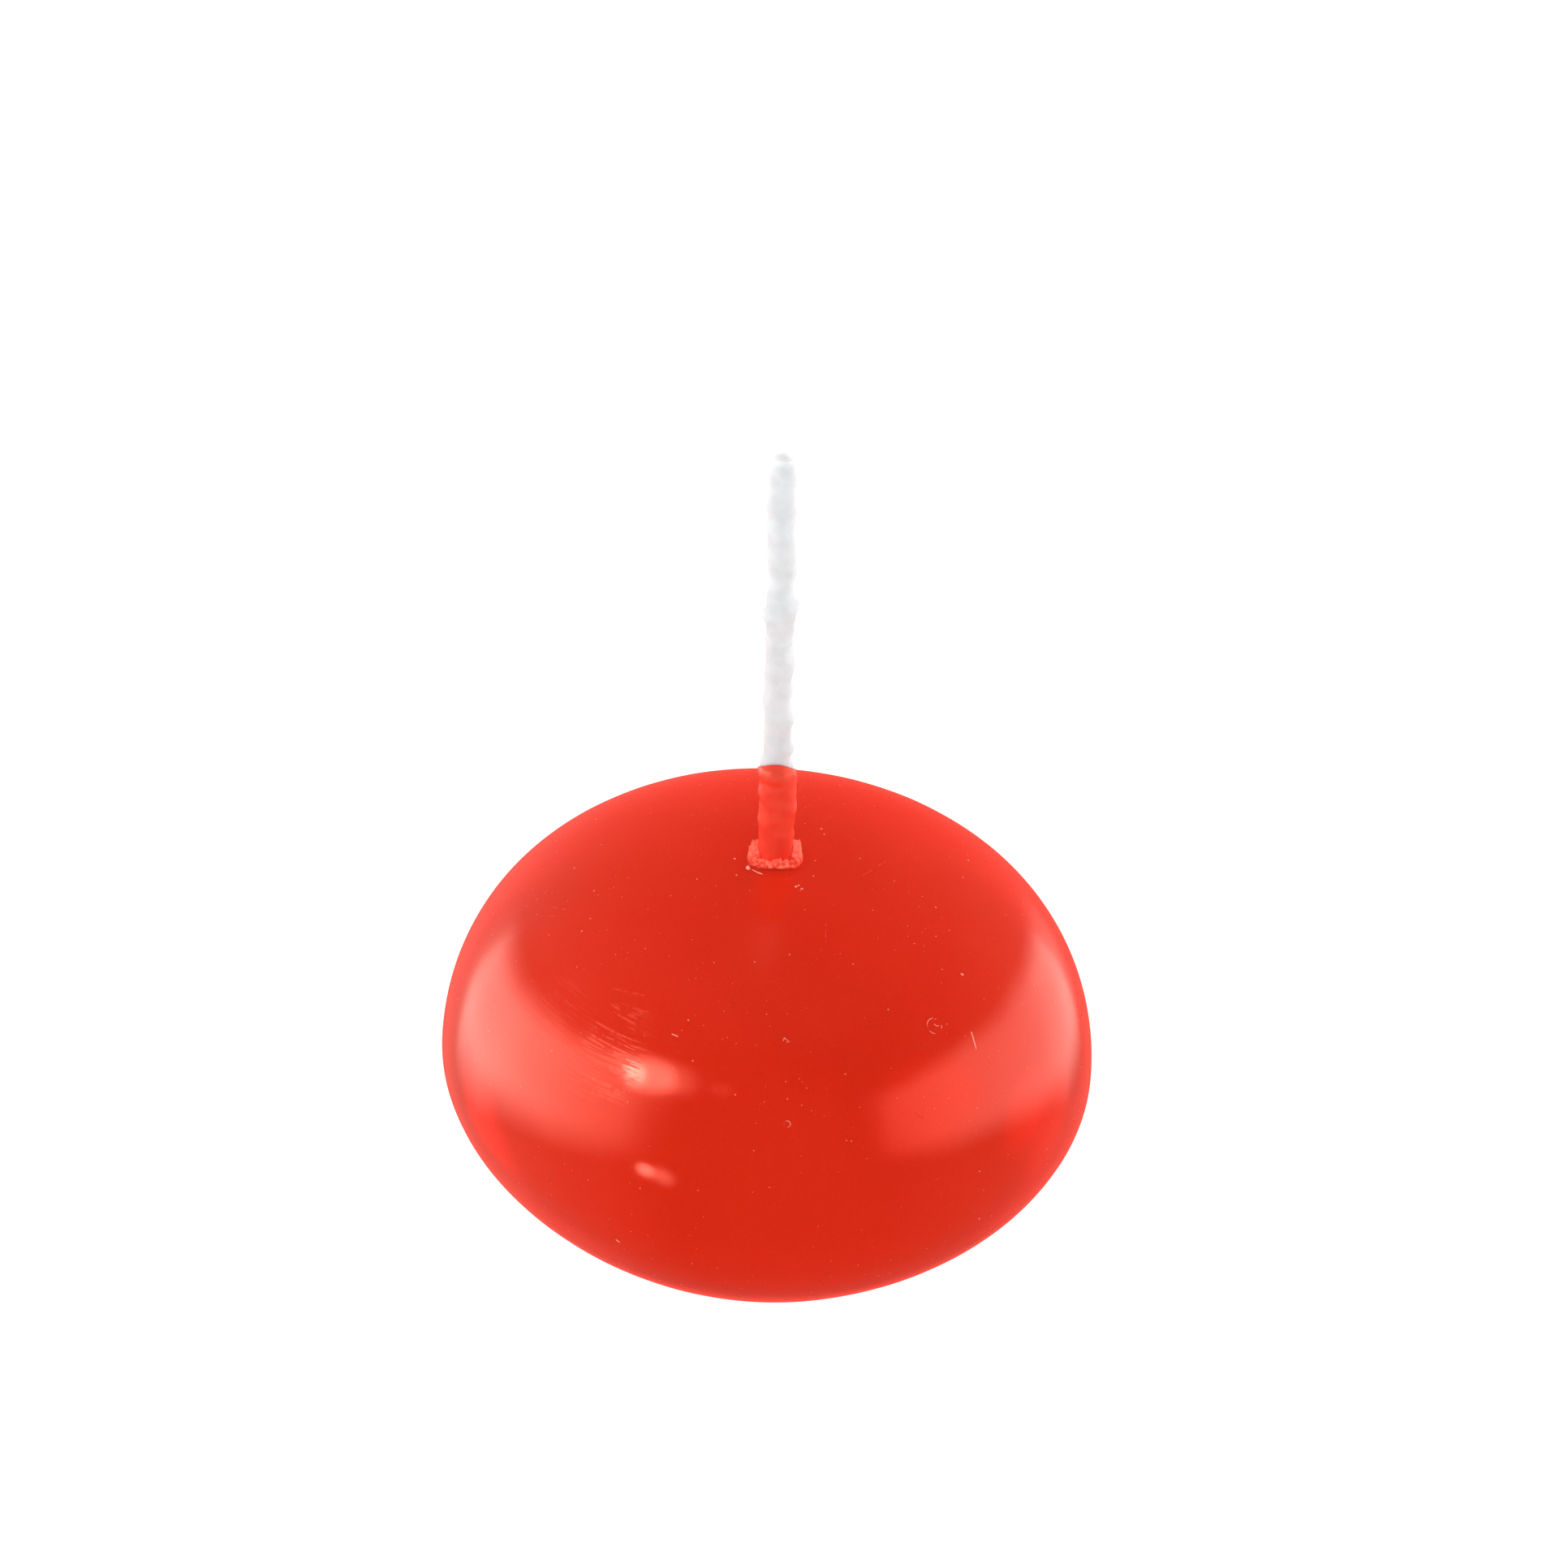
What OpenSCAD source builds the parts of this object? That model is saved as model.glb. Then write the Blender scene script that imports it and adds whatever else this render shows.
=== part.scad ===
// Floating candle: a lens-shaped wax body, a plaited wick pushed up through it from below,
// a red wax coat on the wick's foot and a tinplate sustainer that holds the wick at the base.
// Millimetres, +Z up. The origin is the centre of the flat base. +X is to the right of the front view.

/* [Wax body] */
// Diameter at the widest line
body_d = 45; // [40:0.5:60]
// Height from the flat base to the top of the dome
body_h = 30; // [26:0.5:40]
// Height of the widest line above the base
equator_h = 13.7; // [11:0.1:17]
// Diameter of the flat base, measured to the sharp corner that its soft edge rounds off
base_d = 21; // [18:0.5:28]
// Height of the soft edge round the base
base_edge_h = 0.4; // [0.2:0.05:0.8]
// Width of the soft edge round the base
base_edge_w = 0.5; // [0.2:0.05:0.8]
// Shape of the dome: 0.5 is an ellipse, and less is squarer
dome_power = 0.37; // [0.3:0.01:0.5]
// Shape of the underside: 0.5 is an ellipse, and more is nearer a cone
keel_power = 1.54; // [1:0.02:2]
// How far the bore for the wick stands to the left of the middle
bore_offset = 0.35; // [0:0.05:1]

/* [Wick] */
// Diameter of the primed wick inside the wax
wick_d = 1.9; // [1.5:0.05:3]
// Length of wick that stands above the dome
wick_reach = 33; // [16:0.5:45]
// Angle at which it leans to the left, from where it leaves the wax
wick_lean = 2.35; // [0:0.05:8]
// Length of one turn of the plait
plait_pitch = 2.4; // [1.6:0.1:4]
// Height of the plait's scallops under the priming wax
plait_relief = 0.04; // [0:0.01:0.1]
// Gap between the wick and the wax, tin or coat round it
wick_gap = 0.04; // [0.03:0.01:0.1]

/* [Red coat on the wick's foot] */
// Height of the coat above the dome, at the sides of the wick
coat_reach = 7.4; // [4:0.1:12]
// How much higher its upper edge stands in front, and lower behind
coat_slant = 0.9; // [0:0.1:1.5]
// Thickness of the coat where it leaves the body
coat_t = 0.2; // [0.15:0.05:0.5]
// Thickness of its feathered upper edge
coat_edge_t = 0.08; // [0.06:0.01:0.15]
// Extra thickness on the right, where the wax ran down and set
coat_swell = 0.2; // [0:0.02:0.4]
// Depth of the coat's lower end in the mouth of the bore
coat_seat = 0.5; // [0.3:0.1:1.5]

/* [Torn rim round the wick] */
// Width of the torn rim round the coat, where it rises from the dome
rim_w = 0.75; // [0.6:0.05:2]
// Height of its tallest flake
rim_h = 1.5; // [0.6:0.1:2.5]
// Depth of the small teeth along the torn edge
tooth_depth = 0.2; // [0:0.02:0.3]

/* [Sustainer] */
// Diameter of the tinplate disc
disc_d = 12.5; // [9:0.5:15]
// Thickness of the tinplate
tin_t = 0.3; // [0.2:0.05:0.5]
// Height of the disc's underside above the base
disc_inset = 0.25; // [0.1:0.05:0.6]
// Height of the neck above the disc's underside
neck_h = 4; // [3:0.25:8]
// Radius of the bend between the disc and the neck, on its wax side
neck_bend_r = 0.5; // [0.3:0.05:1]
// How much the neck squeezes the wick's diameter
crimp = 0.25; // [0:0.05:0.4]
// Gap between the disc's rim or the neck and the wax
tin_gap = 0.1; // [0.05:0.05:0.3]

/* [Hidden] */
$fn = 96;

red_wax = [0.84, 0.17, 0.09];
thin_red_wax = [0.93, 0.27, 0.19];
primed_cotton = [0.92, 0.92, 0.91];
tinplate = [0.72, 0.73, 0.74];

// Steps along each curve of the body's section
edge_steps = 5;
keel_steps = 28;
dome_steps = 44;

// Radii and levels that the pieces share
body_r = body_d / 2;
base_r = base_d / 2;
wick_r = wick_d / 2;
crimped_r = (wick_d - crimp) / 2;
neck_inner_r = crimped_r + wick_gap;
neck_outer_r = neck_inner_r + tin_t;
neck_top = disc_inset + neck_h;
disc_top = disc_inset + tin_t;
coat_r = wick_r + wick_gap + coat_t;
coat_foot = body_h - coat_seat;

// Depth at which the underside's curve would close, if the flat base didn't cut it
keel_depth = equator_h / sqrt(1 - pow(base_r / body_r, 1 / keel_power));

// Sides of the wick's and the coat's section, and the longest step between two sections
wick_sides = 20;
ring_step = 0.5;

// Swellings and hollows of the priming wax: height as a share of the reach, half length and
// bulge in wick diameters, and direction round the wick from +X
swellings = [
    [0.905, 0.45, -0.035, 0],
    [0.905, 0.45, -0.04, 180],
    [0.865, 0.3, 0.045, 180],
    [0.82, 0.3, -0.04, 0],
    [0.81, 0.35, 0.035, 180],
    [0.73, 0.85, 0.1, 0],
    [0.69, 1.2, -0.055, 180],
    [0.63, 0.45, 0.2, 0],
    [0.6, 0.5, 0.08, 0],
    [0.6, 0.5, 0.085, 180],
    [0.61, 0.4, 0.07, 270],
    [0.545, 0.2, 0.05, 0],
    [0.515, 0.25, 0.06, 0],
    [0.48, 0.45, 0.09, 0],
    [0.44, 0.25, -0.03, 0],
    [0.4, 0.55, 0.045, 180],
    [0.395, 0.4, -0.05, 0],
    [0.36, 0.4, 0.05, 270],
    [0.345, 0.35, 0.05, 0],
    [0.28, 0.45, 0.08, 0],
    [0.25, 0.35, 0.05, 180]
];
// The priming wax flares where it meets the coat: how far it reaches and bulges, in wick diameters
flare_reach = 0.5;
flare_bulge = 0.12;

// The coat's swelling: height of its middle and its half length, as shares of the coat's height
swell_at = 0.7;
swell_reach = 0.6;
// How fast the coat's upper edge thickens downwards, in thickness for each unit of height
feather_slope = 0.3;

// The cut tip: depth below the end in wick diameters, and share of the full radius
tip_rings = [[0.95, 0.97], [0.65, 0.93], [0.4, 0.85], [0.14, 0.68], [0, 0.5]];
// How far the cut face dips in its middle, in wick diameters
tip_dip = 0.06;

// Sides of the torn rim, the angle that its uneven teeth step on by, and how deep it is rooted
rim_sides = 40;
tooth_turn = 69;
rim_root = 0.4;
// Heights, as shares of the crest's, of the hollow flank's middle and of the ledge at the wick
flank_share = 0.42;
ledge_share = 0.75;
// Torn flakes: direction from +X, height as a share of the tallest, and how far out the crest and
// the foot stand as shares of the rim's width
flakes = [
    [0, 0.95, 0.6, 0.98],
    [10, 0.66, 0.72, 1],
    [20, 0.95, 0.85, 1],
    [35, 0.7, 0.75, 0.95],
    [70, 0.5, 0.5, 0.8],
    [110, 0.55, 0.45, 0.7],
    [145, 0.75, 0.5, 0.8],
    [165, 0.9, 0.5, 0.85],
    [180, 0.84, 0.62, 0.95],
    [200, 0.5, 0.85, 1.05],
    [215, 0.28, 0.9, 1.15],
    [235, 0.34, 0.6, 0.95],
    [255, 0.45, 0.3, 0.6],
    [270, 0.5, 0.25, 0.5],
    [290, 0.5, 0.25, 0.5],
    [310, 0.36, 0.5, 0.75],
    [328, 0.36, 0.85, 1],
    [345, 0.5, 0.92, 1.02],
    [360, 0.95, 0.6, 0.98]
];

// Section of the wax body, as [radius, height]
function dome_point(t) = [
    body_r * pow(cos(t), 2 * dome_power),
    equator_h + (body_h - equator_h) * sin(t)
];
function keel_r(h) = body_r * pow(1 - pow((equator_h - h) / keel_depth, 2), keel_power);
function keel_point(t) = [
    body_r * pow(cos(t), 2 * keel_power),
    equator_h - keel_depth * sin(t)
];
function edge_point(a) =
    let (h = base_edge_h * (1 - cos(a)))
    [keel_r(h) - base_edge_w * (1 - sin(a)), h];
keel_start = asin((equator_h - base_edge_h) / keel_depth);
function body_section() = concat(
    [[0, 0]],
    [for (i = [0 : edge_steps]) edge_point(90 * i / edge_steps)],
    [for (i = [1 : keel_steps - 1]) keel_point(keel_start * (1 - i / keel_steps))],
    [for (i = [0 : dome_steps - 1]) dome_point(90 * i / dome_steps)],
    [[0, body_h]]
);

// Surface of the wick, by height h above the dome and direction a
function fade(x) = abs(x) < 1 ? pow(cos(90 * x), 2) : 0;
function facing(a) = pow((1 + cos(a)) / 2, 2);
function total(values) = [for (v = values) 1] * values;
function swelling(h, a) = wick_d * (
    flare_bulge * fade((h - coat_reach) / (flare_reach * wick_d))
    + total([
        for (s = swellings) s[2] * fade((h - s[0] * wick_reach) / (s[1] * wick_d)) * facing(a - s[3])
    ])
);
function plait(h, a) =
    let (turn = 360 * (h + coat_seat) / plait_pitch)
    plait_relief * (cos(turn) * cos(a) + cos(2 * turn) * cos(2 * a) / 2);
function shown_r(h, a) = wick_r + (h > 0 ? swelling(h, a) + plait(h, a) * min(1, h / plait_pitch) : 0);

// A ring of points round the wick, level where it leaves the wax and at the tip, and slanted with
// the coat's upper edge between them
function lift(h, a) = -coat_slant * sin(a) * (
    h < coat_reach ? max(0, h / coat_reach) : (wick_reach - h) / (wick_reach - coat_reach)
);
function wick_point(h, a, share, grow) =
    let (r = share * shown_r(h, a) + grow)
    [r * cos(a) - max(0, h) * tan(wick_lean), r * sin(a), body_h + h];
function wick_ring(h, share = 1, grow = 0) = [
    for (i = [0 : wick_sides - 1])
        let (a = 360 * i / wick_sides)
        wick_point(h + lift(h, a), a, share, grow)
];
// A plain round ring where the wick is buried, at height z above the base
function buried_ring(z, r) = [
    for (i = [0 : wick_sides - 1])
        let (a = 360 * i / wick_sides)
        [r * cos(a), r * sin(a), z]
];

// Outer surface of the coat, with the space that the body leaves round it as grow
function coat_thickness(h, a) = min(
    coat_t + coat_swell * fade((h / coat_reach - swell_at) / swell_reach) * facing(a),
    coat_edge_t + feather_slope * (coat_reach - h)
);
function coat_ring(h, grow = 0) = [
    for (i = [0 : wick_sides - 1])
        let (a = 360 * i / wick_sides)
        wick_point(h + lift(h, a), a, 1, wick_gap + coat_thickness(h, a) + grow)
];

// Heights of the sections that the wick and its coat share, so that they nest
function steps_between(low, high) =
    let (n = ceil((high - low) / ring_step))
    [for (i = [0 : n - 1]) low + (high - low) * i / n];
coat_levels = concat(steps_between(-coat_seat, 0), steps_between(0, coat_reach), [coat_reach]);
tip_start = wick_reach - (tip_rings[0][0] + 0.2) * wick_d;
bare_levels = [for (h = steps_between(coat_reach, tip_start)) if (h > coat_reach) h];
// Lowest point of a slanted ring of the coat
function lowest(h) = h * (1 - coat_slant / coat_reach);

// Closed solid through rings of points that run counter-clockwise, from the lowest to the highest
module skin(rings, top_dip = 0) {
    n = len(rings[0]);
    last = len(rings) - 1;
    bottom_mid = total([for (p = rings[0]) p]) / n;
    top_mid = total([for (p = rings[last]) p]) / n - [0, 0, top_dip];
    points = concat([for (ring = rings) each ring], [bottom_mid, top_mid]);
    polyhedron(points, concat(
        [for (k = [0 : last - 1], j = [0 : n - 1]) each side_faces(k, k + 1, j, n)],
        [for (j = [0 : n - 1]) [j, (j + 1) % n, n * (last + 1)]],
        [for (j = [0 : n - 1]) [last * n + (j + 1) % n, last * n + j, n * (last + 1) + 1]]
    ));
}
// The two triangles between neighbouring points of ring k and the next ring. A wall that runs
// back down takes the other diagonal, so that it folds as the wall beside it does.
function side_faces(k, next, j, n, back = false) =
    let (a = k * n + j, b = k * n + (j + 1) % n, c = next * n + (j + 1) % n, d = next * n + j)
    back ? [[a, d, b], [b, d, c]] : [[a, d, c], [a, c, b]];

// Closed tube wall: up through the outer rings, and back down through the inner ones
module sleeve(outer, inner) {
    n = len(outer[0]);
    count = len(outer) + len(inner);
    rings = concat(outer, [for (k = [len(inner) - 1 : -1 : 0]) inner[k]]);
    polyhedron(
        [for (ring = rings) each ring],
        [
            for (k = [0 : count - 1], j = [0 : n - 1])
                each side_faces(k, (k + 1) % count, j, n, k >= len(outer))
        ]
    );
}

module wick() {
    color(primed_cotton)
    translate([-bore_offset, 0, 0])
    skin(concat(
        [
            buried_ring(disc_inset, crimped_r),
            buried_ring(neck_top, crimped_r),
            buried_ring(neck_top + wick_d, wick_r)
        ],
        [for (h = coat_levels) wick_ring(h)],
        [for (h = bare_levels) wick_ring(h)],
        [for (t = tip_rings) wick_ring(wick_reach - t[0] * wick_d, t[1])]
    ), tip_dip * wick_d);
}

module wick_foot_coat() {
    color(thin_red_wax)
    translate([-bore_offset, 0, 0])
    sleeve(
        [for (h = coat_levels) coat_ring(h)],
        [for (h = coat_levels) wick_ring(h, 1, wick_gap)]
    );
}

// Torn wax that rises round the wick, as a plug that the mouth of the bore is then cut through
function flake_share(a, column) = lookup(a, [for (f = flakes) [f[0], f[column]]]);
function rim_ring(level) = [
    for (i = [0 : rim_sides - 1])
        let (
            a = 360 * i / rim_sides,
            tooth = tooth_depth * pow(sin(tooth_turn * i), 2),
            crest_h = (rim_h - tooth) * flake_share(a, 1),
            crest_r = coat_r + rim_w * flake_share(a, 2) - tooth / 2,
            foot_r = coat_r + rim_w * flake_share(a, 3) - tooth / 2,
            p = level == "root" ? [foot_r, -rim_root]
                : level == "foot" ? [foot_r, tooth_depth / 4]
                : level == "flank" ? [(foot_r + crest_r) / 2, flank_share * crest_h]
                : level == "crest" ? [crest_r, crest_h]
                : [wick_r, ledge_share * crest_h]
        )
        [p[0] * cos(a), p[0] * sin(a), body_h + p[1]]
];
module torn_rim() {
    skin([for (level = ["root", "foot", "flank", "crest", "ledge"]) rim_ring(level)]);
}

// Bore for the wick, with a wider mouth for the coat that follows the wick's lean above the dome
module wick_bore() {
    mouth_r = coat_r + 2 * wick_gap;
    translate([0, 0, neck_top]) cylinder(r = wick_r + wick_gap, h = body_h - neck_top);
    translate([0, 0, coat_foot]) cylinder(r = mouth_r, h = coat_seat + wick_gap);
    skin([for (h = coat_levels) if (lowest(h) < rim_h + 2 * ring_step) coat_ring(h, wick_gap)]);
}

// Shallow seat in the base for the sustainer's disc, with room for its bend and neck
module sustainer_seat() {
    seat_r = neck_outer_r + tin_gap;
    translate([0, 0, -1]) cylinder(r = disc_d / 2 + tin_gap, h = disc_top + 1);
    cylinder(r = seat_r, h = neck_top + tin_gap);
    translate([0, 0, disc_top]) cylinder(r1 = seat_r + neck_bend_r, r2 = seat_r, h = neck_bend_r);
}

module wax_body() {
    color(red_wax)
    difference() {
        union() {
            rotate_extrude() polygon(body_section());
            translate([-bore_offset, 0, 0]) torn_rim();
        }
        translate([-bore_offset, 0, 0]) wick_bore();
        translate([-bore_offset, 0, 0]) sustainer_seat();
    }
}

// Stamped disc whose middle is drawn up into a neck round the wick
module wick_sustainer() {
    bend_mid_r = neck_outer_r + neck_bend_r;
    bend_mid_z = tin_t + neck_bend_r;
    color(tinplate)
    translate([-bore_offset, 0, disc_inset])
    rotate_extrude()
    union() {
        translate([bend_mid_r, 0]) square([disc_d / 2 - bend_mid_r, tin_t]);
        translate([neck_inner_r, bend_mid_z]) square([tin_t, neck_h - bend_mid_z]);
        translate([bend_mid_r, bend_mid_z])
        intersection() {
            difference() {
                circle(r = neck_bend_r + tin_t);
                circle(r = neck_bend_r);
            }
            translate([-bend_mid_r, -bend_mid_z]) square([bend_mid_r, bend_mid_z]);
        }
    }
}

wax_body();
wick();
wick_foot_coat();
wick_sustainer();
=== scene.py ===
import math

import bpy
import numpy as np
from mathutils import Matrix, Vector


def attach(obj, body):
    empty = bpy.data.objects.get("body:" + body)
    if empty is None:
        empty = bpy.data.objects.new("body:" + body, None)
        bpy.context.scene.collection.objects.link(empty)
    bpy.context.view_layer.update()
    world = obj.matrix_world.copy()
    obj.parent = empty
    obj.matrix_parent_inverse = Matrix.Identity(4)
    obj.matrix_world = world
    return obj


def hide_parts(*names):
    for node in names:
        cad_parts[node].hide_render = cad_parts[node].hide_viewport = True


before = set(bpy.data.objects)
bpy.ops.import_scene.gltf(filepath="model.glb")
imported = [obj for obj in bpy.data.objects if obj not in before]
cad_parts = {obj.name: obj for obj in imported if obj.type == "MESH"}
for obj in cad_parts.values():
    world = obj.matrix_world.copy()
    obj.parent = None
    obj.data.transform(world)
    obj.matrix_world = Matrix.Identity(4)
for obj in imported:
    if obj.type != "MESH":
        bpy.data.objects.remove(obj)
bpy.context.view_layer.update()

# Lengths below are millimetres, as in the part's source. put() turns them into metres.
MM = 0.001
FULL_TURN = 2 * math.pi

# A wave is its amplitude, its wavelength in millimetres and its seed. The amplitude is in millimetres,
# or a share where the code multiplies the wave by a size. Each wave is a sum of parts, and each part's
# length is the wavelength times a factor between these two.
WAVE_PARTS = 10
WAVE_SPREAD = (0.7, 1.6)
WAVE_PEAK = 1.6

# The wax body
BODY_R = 22.5
BODY_H = 30.0
EQUATOR_H = 13.7
BASE_R = 10.5
EDGE_H = 0.4
EDGE_W = 0.5
DOME_POWER = 0.37
KEEL_POWER = 1.54
BORE_X = -0.35
KEEL_DEPTH = EQUATOR_H / math.sqrt(1 - (BASE_R / BODY_R) ** (1 / KEEL_POWER))
# The moulded skin dips inwards a little, but not near the rim or the base: where the dips start, and
# over what length they come in
SKIN_WAVES = ((0.03, 13, 3), (0.008, 3.5, 4))
SKIN_FROM_R = (3.0, 3.0)
SKIN_FROM_H = (0.6, 2.0)
# Rings of the mesh: points in each, heights in the bore, and start, end and step of the reaches on
# the dome. Near the bore they are centred on it, and further out on the body.
BODY_POINTS = 256
BORE_RINGS = (12.0, 21.0)
NEAR_RINGS = (0.08, 5.5, 0.07)
FAR_RINGS = (5.6, 18.9, 0.33)
CENTRED_FROM_R = (3, 6)
SHOULDER_RINGS = 46
KEEL_RINGS = 74
EDGE_RINGS = 8
BASE_RINGS = 5

# The wick and the red coat on its foot
WICK_D = 1.9
WICK_R = WICK_D / 2
WICK_REACH = 33.0
WICK_LEAN = math.tan(math.radians(2.35))
PLAIT_PITCH = 2.4
PLAIT_RELIEF = 0.04
GAP = 0.04
COAT_REACH = 7.4
COAT_SLANT = 0.9
COAT_T = 0.2
COAT_EDGE_T = 0.08
COAT_SWELL = 0.2
COAT_SEAT = 0.5
SWELL_AT = 0.7
SWELL_REACH = 0.6
FEATHER_SLOPE = 0.3
FLARE_REACH = 0.5
FLARE_BULGE = 0.12
COAT_R = WICK_R + GAP + COAT_T
# Runs and grains in the priming wax and on the coat, and the lengths over which they come in
PRIMING_WAVES = ((0.018, 1.3, 21), (0.009, 0.45, 22))
PRIMING_FADE = 0.6
COAT_WAVES = ((0.02, 1.6, 31), (0.008, 0.5, 32))
COAT_FADE = (0.6, 0.5)
# The cut tip: depth below its top in wick diameters, and share of the radius. It is worn down by
# TIP_WORN, more so on its left.
TIP = ((0.72, 1.0), (0.42, 0.95), (0.2, 0.89), (0.09, 0.83), (0.02, 0.76), (0.0, 0.7))
TIP_WORN = 0.45
TIP_TOP = WICK_REACH - TIP_WORN
TIP_SHIFT = 0.4
TIP_DIP = 0.06
TIP_MARGIN = 0.05
TIP_WAVE = (0.015, 0.6, 23)
# Height as a share of the reach, half length and bulge in wick diameters, direction in degrees
SWELLINGS = (
    (0.905, 0.45, -0.035, 0), (0.905, 0.45, -0.04, 180), (0.865, 0.3, 0.045, 180),
    (0.82, 0.3, -0.04, 0), (0.81, 0.35, 0.035, 180), (0.73, 0.85, 0.1, 0), (0.69, 1.2, -0.055, 180),
    (0.63, 0.45, 0.2, 0), (0.6, 0.5, 0.08, 0), (0.6, 0.5, 0.085, 180), (0.61, 0.4, 0.07, 270),
    (0.545, 0.2, 0.05, 0), (0.515, 0.25, 0.06, 0), (0.48, 0.45, 0.09, 0), (0.44, 0.25, -0.03, 0),
    (0.4, 0.55, 0.045, 180), (0.395, 0.4, -0.05, 0), (0.36, 0.4, 0.05, 270), (0.345, 0.35, 0.05, 0),
    (0.28, 0.45, 0.08, 0), (0.25, 0.35, 0.05, 180),
)
WICK_POINTS = 96
WICK_STEP = 0.1
TIP_RINGS = 16
COAT_SEAT_RINGS = 4
COAT_RINGS = 75

# The torn rim round the wick: direction, height as a share of the tallest, and the places of its
# crest and its foot in the width
RIM_W = 0.75
RIM_H = 1.5
RIM_GAP = 0.015
FLAKES = (
    (0, 1.0, 0.6, 0.98), (10, 0.66, 0.72, 1.0), (20, 0.78, 0.85, 1.0), (35, 0.5, 0.75, 0.95),
    (70, 0.5, 0.5, 0.8), (110, 0.55, 0.45, 0.7), (145, 0.5, 0.5, 0.8), (165, 0.7, 0.5, 0.85),
    (180, 0.84, 0.62, 0.95), (200, 0.5, 0.85, 1.05), (215, 0.28, 0.9, 1.15), (235, 0.34, 0.6, 0.95),
    (255, 0.45, 0.3, 0.6), (270, 0.5, 0.25, 0.5), (290, 0.5, 0.25, 0.5), (310, 0.36, 0.5, 0.75),
    (328, 0.36, 0.85, 1.0), (345, 0.5, 0.92, 1.02), (360, 1.0, 0.6, 0.98),
)
# How ragged the rim is. Its flank leaves the dome's skin at RIM_ROOT below it, and rises with these
# powers of the way from the foot to the crest.
RIM_SWELL = (0.1, 0.8, 11)
RIM_TEETH = (0.3, 0.42, 12)
TEETH_MEAN = 0.08
TEETH_RANGE = (0.55, 1.12)
RIM_SUNK = 0.06
RIM_ROOT = 0.015
CREST_WAVE = (0.09, 0.4, 13)
CREST_CLEAR = 0.12
FOOT_WAVE = (0.05, 1.1, 14)
FLANK_OUT = 0.9
FLANK_UP = 1.25
# Folds in the flank, shallower where it is steep
FOLD_WAVES = ((1.0, 0.55, 15), (0.5, 0.24, 16))
FOLD_DEPTH = 0.09
SLACK_W = 0.4
SLACK_RANGE = (0.25, 1)
# Scraps of wax on the crest, which slopes down to the coat
SCRAP_WAVE = (0.07, 0.5, 17)
SCRAP_R = 3
CREST_SLOPE = 0.1
CREST_MEETS = 0.85
INSIDE_DROP = 0.05
FLANK_RINGS = 15
CREST_SHARES = (0.15, 0.35, 0.6, 0.85, 1.0)
INSIDE_SHARES = (0.75, 0.55, 0.35, 0.15, 0.0)

# Marks on the dome round the rim: a faint groove, deepest on one side, and the crescent flake
MARK_W = 0.09
GROOVE_R = 2.45
GROOVE_DEPTH = 0.02
GROOVE_EVEN = 0.6
GROOVE_SIDE = -30
CRESCENT_R = 2.3
CRESCENT_H = 0.1
CRESCENT_AT = -128
CRESCENT_HALF = 22
CRESCENT_FADE = 10
# Crumbs on the dome: place, radius and height
CRUMBS = (
    (-2.1, -1.55, 0.2, 0.16), (-2.9, -2.4, 0.08, 0.06), (1.2, -3.3, 0.1, 0.07), (1.5, -3.7, 0.07, 0.05),
    (-3.1, -0.5, 0.08, 0.06), (2.9, 3.2, 0.09, 0.06), (2.35, -1.9, 0.06, 0.05), (-1.0, 3.4, 0.08, 0.05),
    (4.6, -2.4, 0.07, 0.05),
)

# The sustainer and its seat
DISC_R = 6.25
TIN_T = 0.3
DISC_INSET = 0.25
NECK_H = 4.0
BEND_R = 0.5
LIP = 0.06
CRIMPED_R = (WICK_D - 0.25) / 2
TIN_GAP = 0.1
NECK_INNER_R = CRIMPED_R + GAP
NECK_OUTER_R = NECK_INNER_R + TIN_T
NECK_TOP = DISC_INSET + NECK_H
DISC_TOP = DISC_INSET + TIN_T
TIN_POINTS = 128
BEND_RINGS = 9

# Edges sharper than this stay sharp, in degrees
SHARP_WAX = 38
SHARP_WICK = 50
SHARP_COAT = 60
SHARP_TIN = 30


def wave(points, amplitude, wavelength, seed):
    """Smooth seeded noise of about that amplitude at points of shape (..., 3)."""
    rng = np.random.default_rng(seed)
    total = np.zeros(points.shape[:-1])
    for _ in range(WAVE_PARTS):
        way = rng.normal(size=3)
        way /= np.linalg.norm(way)
        pace = FULL_TURN / (wavelength * rng.uniform(*WAVE_SPREAD))
        total += np.sin(points @ way * pace + rng.uniform(0, FULL_TURN))
    return amplitude * total / math.sqrt(WAVE_PARTS) / WAVE_PEAK


def waves(points, parts):
    return sum(wave(points, *part) for part in parts)


def smooth(x):
    x = np.clip(x, 0, 1)
    return x * x * (3 - 2 * x)


def rise(x, start, over):
    return smooth((x - start) / over)


def round_steps(n):
    return np.arange(n) * FULL_TURN / n


def flat_ring(angles, centre, radius, z):
    ones = np.ones_like(angles)
    return np.stack([centre + radius * np.cos(angles), radius * np.sin(angles), z * ones], 1)


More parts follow.
